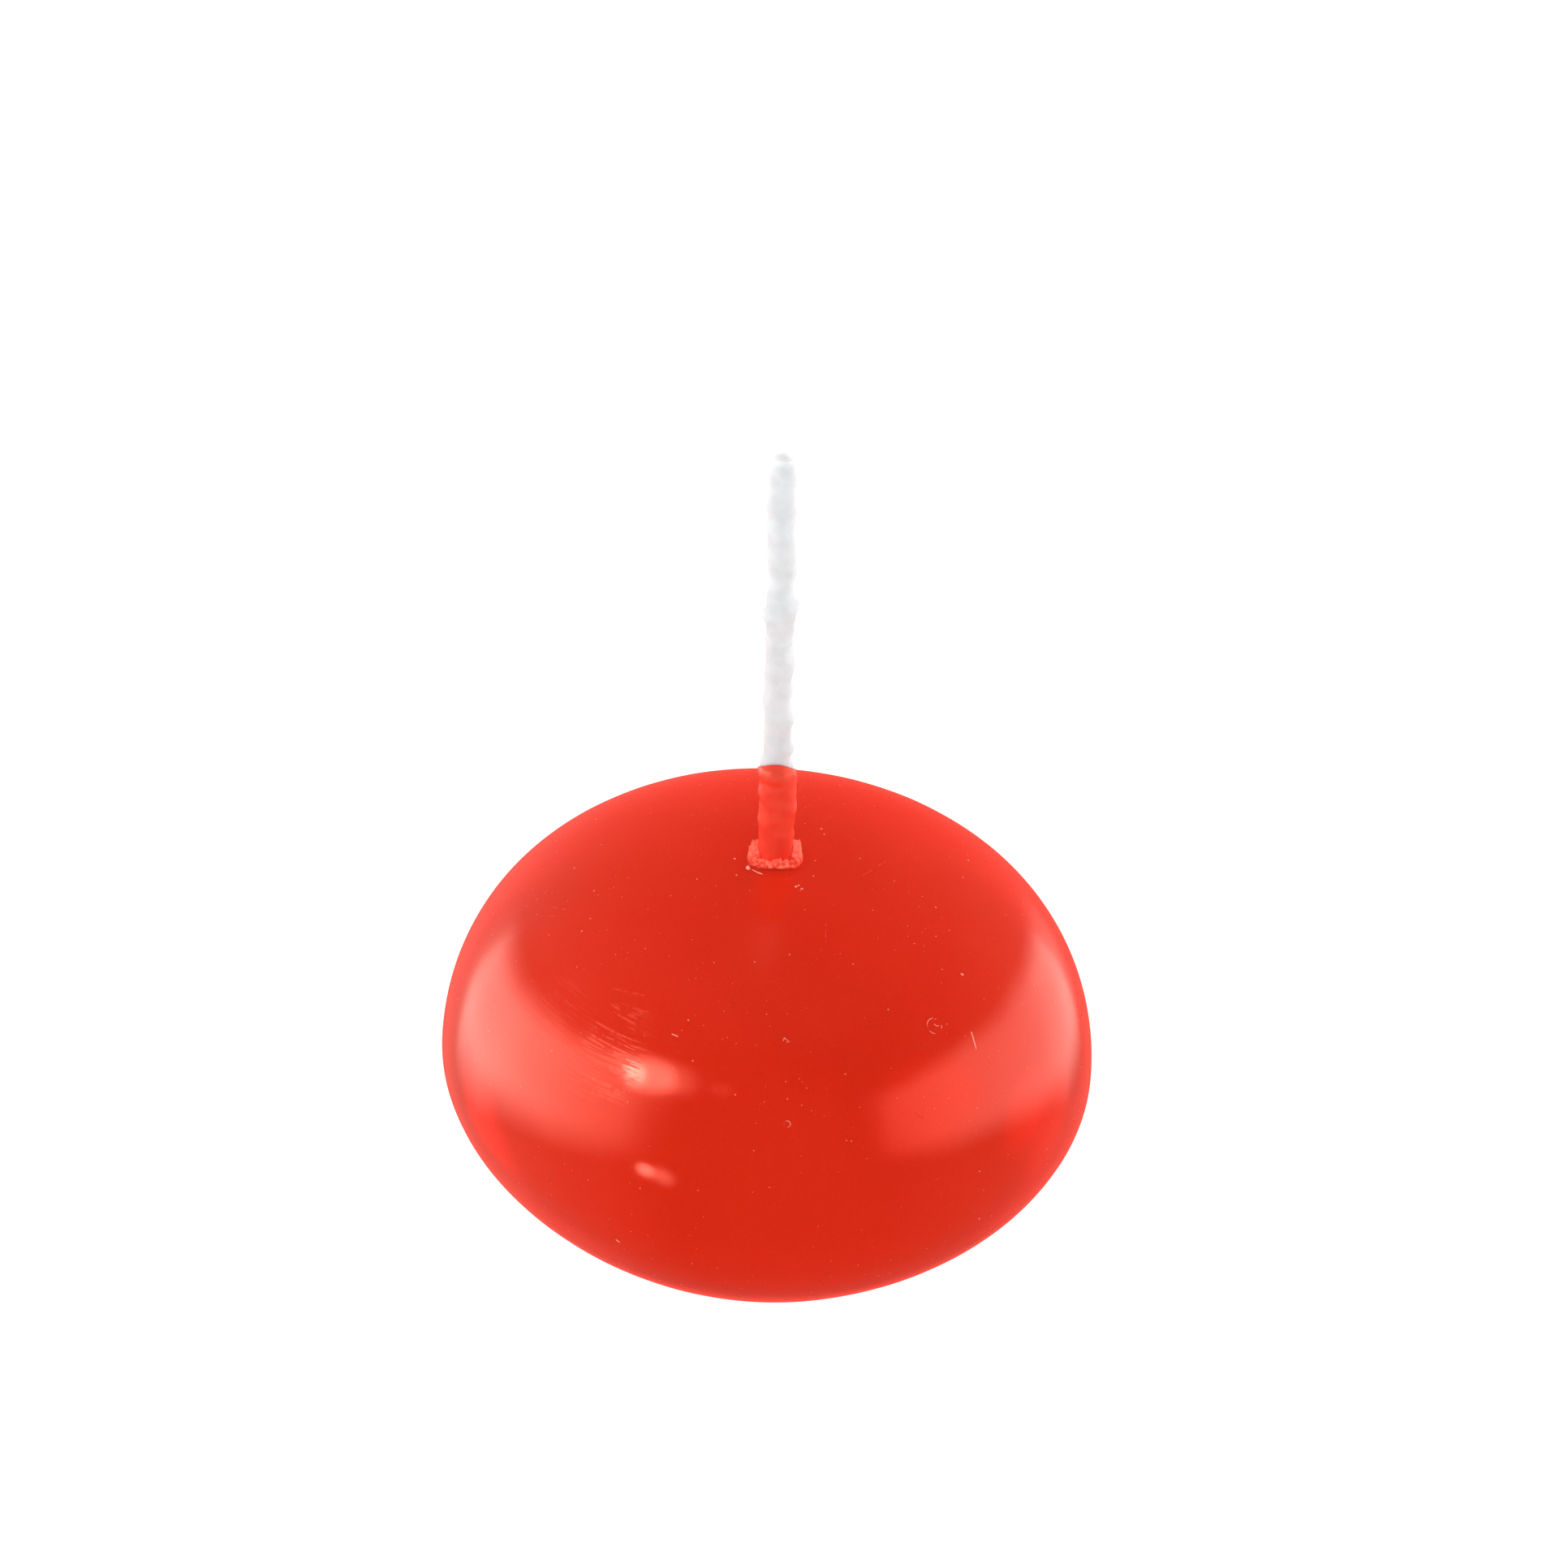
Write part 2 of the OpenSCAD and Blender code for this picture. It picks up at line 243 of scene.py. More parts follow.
def put(name, rings, node, sharp, caps=False, dip=0.0):
    """A mesh through rings of points, in millimetres. Without caps the last ring joins the first again."""
    rings = np.asarray(rings, float)
    count, n = rings.shape[:2]
    verts = rings.reshape(-1, 3)
    j = np.arange(n)
    following = (j + 1) % n
    faces = []
    for k in range(count - 1 if caps else count):
        low, high = k * n, (k + 1) % count * n
        faces.append(np.stack([low + j, low + following, high + following, high + j], 1))
    faces = [tuple(f) for f in np.concatenate(faces)]
    if caps:
        ends = [rings[0].mean(0), rings[-1].mean(0) - [0, 0, dip]]
        verts = np.vstack([verts, ends])
        last = (count - 1) * n
        faces += [(b, a, count * n) for a, b in zip(j, following)]
        faces += [(last + a, last + b, count * n + 1) for a, b in zip(j, following)]
    mesh = bpy.data.meshes.new(name)
    mesh.from_pydata((verts * MM).tolist(), [], [tuple(int(v) for v in f) for f in faces])
    mesh.validate()
    mesh.shade_smooth()
    mesh.set_sharp_from_angle(angle=math.radians(sharp))
    piece = bpy.data.objects.new(name, mesh)
    bpy.context.scene.collection.objects.link(piece)
    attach(piece, "root")
    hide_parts(node)
    return piece


# Wax body

def dome_z(reach):
    share = np.clip(reach / BODY_R, 0, 1)
    return EQUATOR_H + (BODY_H - EQUATOR_H) * np.sqrt(1 - share ** (1 / DOME_POWER))


def keel_r(h):
    return BODY_R * (1 - ((EQUATOR_H - h) / KEEL_DEPTH) ** 2) ** KEEL_POWER


def bump_at(r, middle):
    return np.exp(-((r - middle) / MARK_W) ** 2)


def top_relief(x, y):
    """Height of the groove, the crescent flake and the crumbs above the dome."""
    u = x - BORE_X
    r = np.hypot(u, y)
    a = np.degrees(np.arctan2(y, u))
    uneven = GROOVE_EVEN + (1 - GROOVE_EVEN) * np.cos(np.radians(a - GROOVE_SIDE))
    relief = -GROOVE_DEPTH * bump_at(r, GROOVE_R) * uneven
    ends = smooth((CRESCENT_HALF - np.abs(a - CRESCENT_AT)) / CRESCENT_FADE)
    relief = relief + CRESCENT_H * bump_at(r, CRESCENT_R) * ends
    for cx, cy, size, height in CRUMBS:
        d = np.hypot(x - cx, y - cy) / size
        relief = relief + height * np.clip(1 - d ** 4, 0, 1)
    return relief


def rim_rings(angles):
    """From the rim's foot on the dome over its ragged crest to the coat, and down beside it."""
    turn = np.degrees(angles)
    table = np.array(FLAKES)
    height, crest, foot = (np.interp(turn, table[:, 0], table[:, k]) for k in (1, 2, 3))
    around = flat_ring(angles, 0, COAT_R + RIM_W, 0)
    teeth = 1 + wave(around, *RIM_SWELL) - np.abs(wave(around, *RIM_TEETH)) + TEETH_MEAN
    crest_h = RIM_H * height * np.clip(teeth, *TEETH_RANGE) - RIM_SUNK
    crest_r = COAT_R + RIM_W * (crest + wave(around, *CREST_WAVE))
    foot_r = COAT_R + RIM_W * (foot + wave(around, *FOOT_WAVE))
    crest_r = np.maximum(crest_r, COAT_R + CREST_CLEAR)
    slack = np.clip((foot_r - crest_r) / SLACK_W, *SLACK_RANGE)
    out = []

    def ring(r, z, rough=0.0):
        lean = np.clip(z, 0, None) * WICK_LEAN
        points = np.stack([BORE_X - lean + r * np.cos(angles), r * np.sin(angles), BODY_H + z], 1)
        if rough:
            outward = flat_ring(angles, 0, 1, 0)
            points += outward * (rough * slack * waves(points, FOLD_WAVES))[:, None]
        out.append(points)

    def beside_coat(h):
        return shown_r(h, angles) + GAP + COAT_T + RIM_GAP

    for share in np.linspace(0, 1, FLANK_RINGS):
        r = foot_r + (crest_r - foot_r) * share ** FLANK_OUT
        z = (crest_h + RIM_ROOT) * share ** FLANK_UP - RIM_ROOT
        ring(r, z, FOLD_DEPTH * math.sin(math.pi * share))
    inner_r = beside_coat(crest_h * CREST_MEETS)
    for share in CREST_SHARES:
        scraps = share * wave(flat_ring(angles, 0, SCRAP_R + share, 0), *SCRAP_WAVE)
        ring(crest_r + (inner_r - crest_r) * share, crest_h * (1 - CREST_SLOPE * share) + scraps)
    for share in INSIDE_SHARES:
        ring(beside_coat(crest_h * share), crest_h * share - INSIDE_DROP)
    return out


def wax_body():
    angles = round_steps(BODY_POINTS)
    rings = []
    # Inside the body, from the base up: the sustainer's seat, the bore and the coat's mouth
    seat_r = NECK_OUTER_R + TIN_GAP
    bore_r = WICK_R + GAP
    inside = (
        (DISC_R + TIN_GAP, 0.0), (DISC_R + TIN_GAP, DISC_TOP), (seat_r + BEND_R, DISC_TOP),
        (seat_r, DISC_TOP + BEND_R), (seat_r, NECK_TOP + TIN_GAP), (bore_r, NECK_TOP + TIN_GAP),
        *((bore_r, h) for h in BORE_RINGS),
        (bore_r, BODY_H - COAT_SEAT), (COAT_R + 2 * GAP, BODY_H - COAT_SEAT),
    )
    for r, z in inside:
        rings.append(flat_ring(angles, BORE_X, r, z))
    rings += rim_rings(angles)[::-1]
    beyond_rim, near_end, near_step = NEAR_RINGS
    near = np.arange(COAT_R + RIM_W + beyond_rim, near_end, near_step)
    reaches = [*near, *np.arange(*FAR_RINGS)]
    for r in reaches:
        ring = flat_ring(angles, BORE_X * (1 - rise(r, *CENTRED_FROM_R)), r, 0)
        away = np.hypot(ring[:, 0], ring[:, 1])
        ring[:, 2] = dome_z(away) + top_relief(ring[:, 0], ring[:, 1])
        rings.append(ring)
    last_t = math.acos((reaches[-1] / BODY_R) ** (0.5 / DOME_POWER))
    for t in np.linspace(last_t, 0, SHOULDER_RINGS)[1:]:
        r = BODY_R * math.cos(t) ** (2 * DOME_POWER)
        rings.append(flat_ring(angles, 0, r, EQUATOR_H + (BODY_H - EQUATOR_H) * math.sin(t)))
    for t in np.linspace(0, math.pi / 2, KEEL_RINGS)[1:]:
        h = EQUATOR_H + (EDGE_H - EQUATOR_H) * math.sin(t)
        rings.append(flat_ring(angles, 0, keel_r(h), h))
    for t in np.linspace(math.pi / 2, 0, EDGE_RINGS)[1:]:
        h = EDGE_H * (1 - math.cos(t))
        rings.append(flat_ring(angles, 0, keel_r(h) - EDGE_W * (1 - math.sin(t)), h))
    for share in np.linspace(0, 1, BASE_RINGS + 1)[1:-1]:
        r = BASE_R - EDGE_W + (DISC_R + TIN_GAP - BASE_R + EDGE_W) * share
        rings.append(flat_ring(angles, BORE_X * share, r, 0.0))
    rings = np.array(rings)
    away = np.hypot(rings[..., 0], rings[..., 1])
    worked = rise(away, *SKIN_FROM_R) * rise(rings[..., 2], *SKIN_FROM_H)
    worked[: len(inside)] = 0
    dips = sum(part[0] for part in SKIN_WAVES) + waves(rings, SKIN_WAVES)
    inward = np.clip(dips, 0, None) * worked
    middle = rings - [0, 0, EQUATOR_H]
    rings -= middle / np.linalg.norm(middle, axis=-1, keepdims=True) * inward[..., None]
    return put("wax_body_skin", rings[::-1], "wax_body", SHARP_WAX)


# Wick and coat

def fade(x):
    return np.where(np.abs(x) < 1, np.cos(math.pi / 2 * np.clip(x, -1, 1)) ** 2, 0.0)


def facing(a):
    return ((1 + np.cos(a)) / 2) ** 2


def swelling(h, a):
    bulge = FLARE_BULGE * fade((h - COAT_REACH) / (FLARE_REACH * WICK_D))
    for at, half, out, way in SWELLINGS:
        share = fade((h - at * WICK_REACH) / (half * WICK_D))
        bulge = bulge + out * share * facing(a - math.radians(way))
    return WICK_D * bulge


def plait(h, a):
    turn = FULL_TURN * (h + COAT_SEAT) / PLAIT_PITCH
    return PLAIT_RELIEF * (np.cos(turn) * np.cos(a) + np.cos(2 * turn) * np.cos(2 * a) / 2)


def shown_r(h, a):
    above = swelling(h, a) + plait(h, a) * np.minimum(1, h / PLAIT_PITCH)
    return WICK_R + np.where(h > 0, above, 0)


def lift(h, a):
    if h < COAT_REACH:
        share = max(0.0, h / COAT_REACH)
    else:
        share = (WICK_REACH - h) / (WICK_REACH - COAT_REACH)
    return -COAT_SLANT * np.sin(a) * share


def wick_ring(level, a, share=1.0, grow=0.0):
    h = level + lift(level, a)
    r = share * shown_r(h, a) + grow
    x = BORE_X + r * np.cos(a) - np.clip(h, 0, None) * WICK_LEAN
    return np.stack([x, r * np.sin(a), BODY_H + h], 1)


def coat_thickness(h, a):
    body = COAT_T + COAT_SWELL * fade((h / COAT_REACH - SWELL_AT) / SWELL_REACH) * facing(a)
    return np.minimum(body, COAT_EDGE_T + FEATHER_SLOPE * (COAT_REACH - h))


def wick():
    a = round_steps(WICK_POINTS)
    rings = [
        flat_ring(a, BORE_X, CRIMPED_R, DISC_INSET),
        flat_ring(a, BORE_X, CRIMPED_R, NECK_TOP),
        flat_ring(a, BORE_X, WICK_R, NECK_TOP + WICK_D),
    ]
    tip_start = TIP_TOP - (TIP[0][0] + TIP_MARGIN) * WICK_D
    for h in np.arange(-COAT_SEAT, tip_start, WICK_STEP):
        ring = wick_ring(h, a)
        if h > COAT_REACH:
            grains = waves(ring, PRIMING_WAVES)
            ring = wick_ring(h, a, grow=grains * min(1, (h - COAT_REACH) / PRIMING_FADE))
        rings.append(ring)
    depths, shares = zip(*TIP)
    for depth in np.linspace(TIP[0][0], 0, TIP_RINGS):
        share = np.interp(depth, depths[::-1], shares[::-1])
        level = TIP_TOP - depth * WICK_D
        plain = wick_ring(level, a, share)
        ring = wick_ring(level, a, share, wave(plain, *TIP_WAVE))
        rings.append(ring + [TIP_SHIFT * (1 - share), 0, 0])
    dip = TIP_DIP * WICK_D
    return put("primed_wick", rings, "wick", SHARP_WICK, caps=True, dip=dip)


def coat():
    a = round_steps(WICK_POINTS)
    levels = np.concatenate([
        np.linspace(-COAT_SEAT, 0, COAT_SEAT_RINGS)[:-1], np.linspace(0, COAT_REACH, COAT_RINGS)
    ])
    above_rim, below_edge = COAT_FADE
    outer = []
    for h in levels:
        thickness = coat_thickness(h + lift(h, a), a)
        plain = wick_ring(h, a, grow=GAP + thickness)
        share = rise(h, RIM_H, above_rim) * smooth((COAT_REACH - h) / below_edge)
        outer.append(wick_ring(h, a, grow=GAP + thickness + waves(plain, COAT_WAVES) * share))
    inner = [wick_ring(h, a, grow=GAP) for h in levels]
    return put("red_foot_coat", outer + inner[::-1], "wick_foot_coat", SHARP_COAT)


def sustainer():
    a = round_steps(TIN_POINTS)
    bend_r, bend_z = NECK_OUTER_R + BEND_R, TIN_T + BEND_R
    outer_bend = BEND_R + TIN_T
    quarter = np.linspace(0, math.pi / 2, BEND_RINGS)
    profile = [
        (bend_r, 0.0), (DISC_R - LIP, 0.0), (DISC_R, LIP),
        (DISC_R, TIN_T - LIP), (DISC_R - LIP, TIN_T), (bend_r, TIN_T),
    ]
    for t in quarter[1:]:
        profile.append((bend_r - BEND_R * math.sin(t), bend_z - BEND_R * math.cos(t)))
    profile += [(NECK_OUTER_R, NECK_H - LIP), (NECK_OUTER_R - LIP, NECK_H)]
    profile += [(NECK_INNER_R + LIP, NECK_H), (NECK_INNER_R, NECK_H - LIP), (NECK_INNER_R, bend_z)]
    for t in quarter[-2:0:-1]:
        profile.append((bend_r - outer_bend * math.sin(t), bend_z - outer_bend * math.cos(t)))
    rings = [flat_ring(a, BORE_X, r, DISC_INSET + z) for r, z in profile]
    return put("tin_sustainer", rings, "wick_sustainer", SHARP_TIN)


# Materials

class Nodes:
    """Adds nodes to a tree and links them."""

    def __init__(self, tree):
        self.tree = tree
        self.tree.nodes.clear()

    def add(self, kind, inputs=None, **settings):
        node = self.tree.nodes.new(kind)
        for name, value in settings.items():
            setattr(node, name, value)
        for key, value in (inputs or {}).items():
            if isinstance(value, bpy.types.NodeSocket):
                self.tree.links.new(value, node.inputs[key])
            else:
                node.inputs[key].default_value = value
        return node

    def math(self, operation, a, b=0.0, c=0.0, clamp=False):
        node = self.add("ShaderNodeMath", {0: a, 1: b, 2: c}, operation=operation)
        node.use_clamp = clamp
        return node.outputs[0]

    def times(self, first, *others):
        for other in others:
            first = self.math("MULTIPLY", first, other)
        return first

    def most(self, first, *others):
        for other in others:
            first = self.math("MAXIMUM", first, other)
        return first

    def ramp(self, value, low, high, to_low=0.0, to_high=1.0):
        node = self.add("ShaderNodeMapRange", {
            "Value": value, "From Min": low, "From Max": high, "To Min": to_low, "To Max": to_high,
        })
        node.interpolation_type = "SMOOTHSTEP"
        return node.outputs[0]

    def vector(self, operation, a, b=(0.0, 0.0, 0.0)):
        node = self.add("ShaderNodeVectorMath", {0: a, 1: b}, operation=operation)
        return node.outputs["Value" if operation in ("DISTANCE", "DOT_PRODUCT", "LENGTH") else "Vector"]

    def scale(self, a, factor):
        node = self.add("ShaderNodeVectorMath", {0: a, "Scale": factor}, operation="SCALE")
        return node.outputs["Vector"]


class Net(Nodes):
    """A material's nodes, with coordinates in millimetres of the row frame."""

    def __init__(self, name):
        self.material = bpy.data.materials.new(name)
        self.material.use_nodes = True
        super().__init__(self.material.node_tree)
        self.mm = self.scale(self.add("ShaderNodeTexCoord").outputs["Object"], 1 / MM)

    def noise(self, size, detail, roughness=0.5, at=None):
        node = self.add("ShaderNodeTexNoise", {
            "Vector": at or self.mm, "Scale": 1 / size, "Detail": detail, "Roughness": roughness,
        })
        return node.outputs["Fac"]

    def stretched(self, scale, turn=(0, 0, 0)):
        node = self.add("ShaderNodeMapping", {"Vector": self.mm, "Rotation": turn, "Scale": scale})
        return node.outputs[0]

    def specks(self, size, share, radius):
        """Sparse round dots: one in a cell of that size, in that share of the cells."""
        cells = self.add("ShaderNodeTexVoronoi", {"Vector": self.mm, "Scale": 1 / size})
        pick = self.add("ShaderNodeSeparateColor", {0: cells.outputs["Color"]}).outputs
        chosen = self.math("LESS_THAN", pick[0], share)
        reach = self.times(pick[1], radius / size)
        near = self.math("SUBTRACT", reach, cells.outputs["Distance"])
        return self.times(chosen, self.ramp(near, 0.0, SPECK_EDGE * radius / size))

    def off(self, centre):
        """Distance from a point, in millimetres."""
        return self.vector("DISTANCE", self.mm, centre)

    def ball(self, centre, radius, softness, strength):
        return self.ramp(self.off(centre), radius + softness / 2, radius - softness / 2, 0.0, strength)

    def shell(self, centre, radius, half):
        away = self.math("ABSOLUTE", self.math("SUBTRACT", self.off(centre), radius))
        return self.ramp(away, half, STROKE_EDGE * half)

    def stroke(self, start, end, half):
        """A short mark between two points, with soft edges."""
        start, end = Vector(start), Vector(end)
        along = end - start
        rel = self.vector("SUBTRACT", self.mm, start)
        dot = self.vector("DOT_PRODUCT", rel, along)
        share = self.math("DIVIDE", dot, along.length_squared, clamp=True)
        away = self.vector("DISTANCE", rel, self.scale(along, share))
        return self.ramp(away, half, STROKE_EDGE * half)

    def line(self, start, end, half, strength):
        """A long straight mark as seen from in front: where a plane through the view cuts the skin."""
        start, end = Vector(start), Vector(end)
        along = end - start
        across = along.cross(VIEW_BACK).normalized()
        rel = self.vector("SUBTRACT", self.mm, start)
        side = self.vector("DOT_PRODUCT", rel, across)
        dot = self.vector("DOT_PRODUCT", rel, along)
        # From 0 at the mark's middle to 1 at its ends
        off_middle = self.math("ABSOLUTE", self.math("MULTIPLY_ADD", dot, 2 / along.length_squared, -1.0))
        near = self.ramp(self.math("ABSOLUTE", side), half, LINE_EDGE * half)
        return self.times(near, self.ramp(off_middle, 1.0, LINE_FULL, 0.0, strength))

    def mix(self, share, a, b):
        return self.add("ShaderNodeMix", {0: share, 6: a, 7: b}, data_type="RGBA").outputs[2]

    def bump(self, height, strength, distance):
        """Distance is in millimetres."""
        return self.add("ShaderNodeBump", {
            "Height": height, "Strength": strength, "Distance": distance * MM,
        }).outputs[0]

    def shade(self, **inputs):
        named = {k.replace("_", " ").title().replace("Ior", "IOR"): v for k, v in inputs.items()}
        shader = self.add("ShaderNodeBsdfPrincipled", named)
        self.add("ShaderNodeOutputMaterial", {"Surface": shader.outputs[0]})
        return self.material


def colour(r, g, b):
    return (r, g, b, 1.0)


# The photograph's view: its elevation in degrees, and the direction back to the camera
VIEW_ELEVATION = 36
VIEW_BACK = Vector((0, -math.cos(math.radians(VIEW_ELEVATION)), math.sin(math.radians(VIEW_ELEVATION))))

# Shares of a mark's half width, and of a line's half width and half length, that are full before the
# soft edge begins
STROKE_EDGE = 0.4
LINE_EDGE = 0.3
LINE_FULL = 0.7
# Width of a grain's soft edge as a share of the largest grain's radius
SPECK_EDGE = 0.35

# Marks on the skin as seen in the photograph: from, to, half width
PALE_STROKES = (
    ((-1.81, -1.8, 30.05), (-1.46, -2.08, 30.06), 0.04),
    ((-1.46, -2.08, 30.06), (-1.14, -2.18, 30.04), 0.055),
    ((-1.14, -2.18, 30.04), (-0.8, -2.0, 30.04), 0.03),
    ((-6.47, -15.51, 25.74), (-6.08, -15.7, 25.71), 0.055),
    ((1.08, -15.9, 26.39), (1.49, -16.14, 26.2), 0.05),
    ((13.75, -11.53, 24.72), (14.15, -12.25, 23.91), 0.05),
    ((12.8, -7.9, 26.95), (13.15, -7.82, 26.85), 0.06),
    ((-9.3, -20.05, 11.5), (-9.0, -20.2, 11.3), 0.07), ((-9.05, -18.8, 8.9), (-8.85, -18.8, 8.7), 0.06),
    ((-4.1, -21.6, 11.1), (-4.0, -21.62, 10.9), 0.06),
    ((14.95, -16.4, 16.7), (15.1, -16.4, 16.5), 0.05),
    ((15.15, -16.5, 12.8), (15.3, -16.45, 12.6), 0.05), ((8.6, -19.4, 9.5), (8.7, -19.35, 9.4), 0.05),
)
DARK_STROKES = (
    ((10.27, -17.37, 21.93), (10.85, -17.36, 21.43), 0.07),
    ((-14.7, -15.0, 20.6), (-14.5, -15.2, 20.3), 0.09),
    ((-12.65, -16.62, 20.65), (-12.08, -17.01, 20.7), 0.06),
    ((-16.01, -14.01, 19.81), (-15.95, -14.05, 19.8), 0.14),
    ((-19.93, -7.01, 20.14), (-19.85, -7.2, 19.9), 0.06),
    ((-19.64, -8.6, 19.4), (-19.6, -8.8, 19.1), 0.05),
    ((10.42, -17.43, 21.72), (10.98, -17.27, 21.45), 0.06),
    ((-19.35, -4.4, 22.5), (-19.1, -4.9, 22.5), 0.05),
    ((-16.75, -13.35, 19.6), (-16.6, -13.7, 19.1), 0.06),
    ((10.0, -17.9, 21.2), (10.2, -18.0, 20.7), 0.06),
)
# Single specks that stand out: centre, radius
SPECKS = (
    ((1.37, -3.11, 29.95), 0.07), ((1.61, -3.44, 29.93), 0.08), ((-14.04, 0.6, 27.53), 0.07),
    ((-19.44, -1.48, 22.94), 0.08), ((-15.84, -0.79, 26.45), 0.06), ((2.67, 3.93, 29.88), 0.07),
    ((12.9, -7.96, 26.9), 0.07), ((-1.24, -10.79, 28.82), 0.06), ((-5.44, -14.83, 26.49), 0.06),
    ((9.5, -6.92, 28.52), 0.06), ((2.31, -17.97, 24.55), 0.05), ((-4.95, -17.15, 24.82), 0.06),
    ((6.1, -19.8, 20.98), 0.05), ((-4.05, -21.61, 11.02), 0.06), ((5.23, -21.83, 12.82), 0.05),
)
# Long fine scratches: from, to, half width, strength
SCRATCHES = (
    ((5.13, -1.9, 29.82), (9.16, 4.03, 29.06), 0.05, 0.13),
    ((8.24, 1.45, 29.43), (11.14, -0.78, 28.72), 0.05, 0.1),
    ((12.43, -1.2, 28.24), (17.81, -1.03, 24.83), 0.05, 0.1),
    ((3.38, -6.58, 29.59), (3.47, -8.63, 29.23), 0.05, 0.4),
    ((2.95, -9.3, 29.12), (4.35, -9.53, 28.93), 0.05, 0.5),
    ((-10.99, -11.57, 26.38), (-7.63, -13.12, 26.89), 0.05, 0.8),
    ((-9.77, -13.36, 25.94), (-7.84, -13.97, 26.34), 0.05, 0.9),
    ((-16.48, -1.85, 25.92), (-13.91, -4.14, 27.28), 0.04, 0.4),
    ((-16.68, -2.92, 25.63), (-14.72, -4.16, 26.82), 0.04, 0.4),
    ((-17.66, -4.3, 24.49), (-16.32, -8.27, 24.37), 0.05, 0.35),
)
# Dull round spots low in the right band: centre, radius
DULL = (
    ((9.5, -18.57, 20.71), 0.36), ((8.03, -18.99, 21.17), 0.28), ((11.77, -16.54, 21.73), 0.24),
    ((12.62, -15.86, 21.78), 0.2), ((14.23, -14.83, 21.3), 0.24),
)
# Curls of scraped wax: centre, radius
CURLS = (
    ((11.2, -12.5, 25.75), 0.55), ((11.35, -12.2, 25.85), 0.26), ((1.7, -19.96, 22.15), 0.22),
    ((1.21, -16.07, 26.26), 0.16),
)
# Where wiping round the candle has left fine parallel scratches: centre, radius, softness, strength
WIPED = (
    ((-10.8, -15.9, 23.2), 2.6, 2.4, 1.0), ((-10.2, -14.2, 25.0), 2.2, 2.0, 0.7),
    ((-14.2, -11.4, 24.4), 2.2, 2.4, 0.35),
)
# Dust that is strewn over all the skin: size of a cell, share of the cells that hold a grain, radius
DUST = ((0.9, 1.0, 0.08), (0.4, 0.5, 0.045))
DUST_STRENGTH = 0.45
SPECK_STRENGTH = 0.9
SPECK_SOFT = 0.05
CURL_HALF = 0.045
# Share of a crumb's radius that is pale
CRUMB_SHARE = 0.95
DULL_SOFT = 0.25
DULL_STRENGTH = 0.5
# Size of the noise that the wiped scratches are cut from, in radians round and millimetres across
WIPE_SIZE = 1 / 6
SCRATCH_STRENGTH = 1.6
# Single scratches are seen only above this height: where they start, and where they are full
SCRATCH_HEIGHT = (20.0, 21.0)

# Colours of the red wax: sound, torn, and torn where it stands up, then of its marks
WAX_COLOURS = (colour(0.643, 0.0205, 0.0053), colour(0.71, 0.0255, 0.0072))
TORN_COLOURS = (colour(0.8, 0.038, 0.018), colour(0.98, 0.2, 0.13))
TALL_TORN_COLOUR = colour(0.98, 0.25, 0.17)
SCRATCH_COLOUR = colour(0.95, 0.2, 0.12)
PALE_COLOUR = colour(0.96, 0.4, 0.32)
DARK_COLOUR = colour(0.45, 0.01, 0.004)
# Reach and height between which the wax turns from sound to torn, and where the torn wax is tall
TORN_REACH = (COAT_R + RIM_W * 1.5, COAT_R + RIM_W * 1.2)
TORN_HEIGHT = (30.02, 30.16)
TALL_HEIGHT = (30.3, 30.8)


def bore_coordinates(net):
    """Distance from the bore's axis, angle round the body's axis, and height."""
    off_axis = net.vector("SUBTRACT", net.mm, (BORE_X, 0.0, 0.0))
    reach = net.vector("LENGTH", net.vector("MULTIPLY", off_axis, (1.0, 1.0, 0.0)))
    across, toward, height = net.add("ShaderNodeSeparateXYZ", {0: net.mm}).outputs
    return reach, net.math("ARCTAN2", across, net.times(toward, -1.0)), height


def skin_marks(net, in_bits):
    """How much of the skin's colour is dust, all pale marks together, and dark marks."""
    dust = net.most(*(net.specks(*grains) for grains in DUST))
    pale = net.times(dust, DUST_STRENGTH)
    for centre, radius in SPECKS:
        pale = net.most(pale, net.ball(centre, radius, SPECK_SOFT, SPECK_STRENGTH))
    for mark in PALE_STROKES:
        pale = net.most(pale, net.stroke(*mark))
    curls = net.most(*(net.shell(centre, radius, CURL_HALF) for centre, radius in CURLS))
    pale = net.most(pale, net.times(curls, in_bits))
    for x, y, size, _ in CRUMBS:
        crumb = net.ball((x, y, BODY_H), size * CRUMB_SHARE, SPECK_SOFT, SPECK_STRENGTH)
        pale = net.most(pale, crumb)
    dark = net.most(*(net.stroke(*mark) for mark in DARK_STROKES))
    return dust, pale, dark


def skin_scratches(net, in_bits, reach, turned, height):
    """Fine scratches that run round the candle where it has been wiped, and single long ones."""
    rounds = net.add("ShaderNodeCombineXYZ", {0: turned, 1: reach, 2: height}).outputs[0]
    lines = net.ramp(net.noise(size=WIPE_SIZE, detail=1, at=rounds), 0.5, 0.6)
    wiped = net.most(*(net.ball(*patch) for patch in WIPED))
    patches = net.ramp(net.noise(size=0.9, detail=2), 0.3, 0.5)
    single = net.most(*(
        net.line(start, end, half, SCRATCH_STRENGTH * strength) for start, end, half, strength in SCRATCHES
    ))
    high = net.ramp(height, *SCRATCH_HEIGHT)
    return net.most(net.times(lines, wiped, patches), net.times(single, in_bits, high))


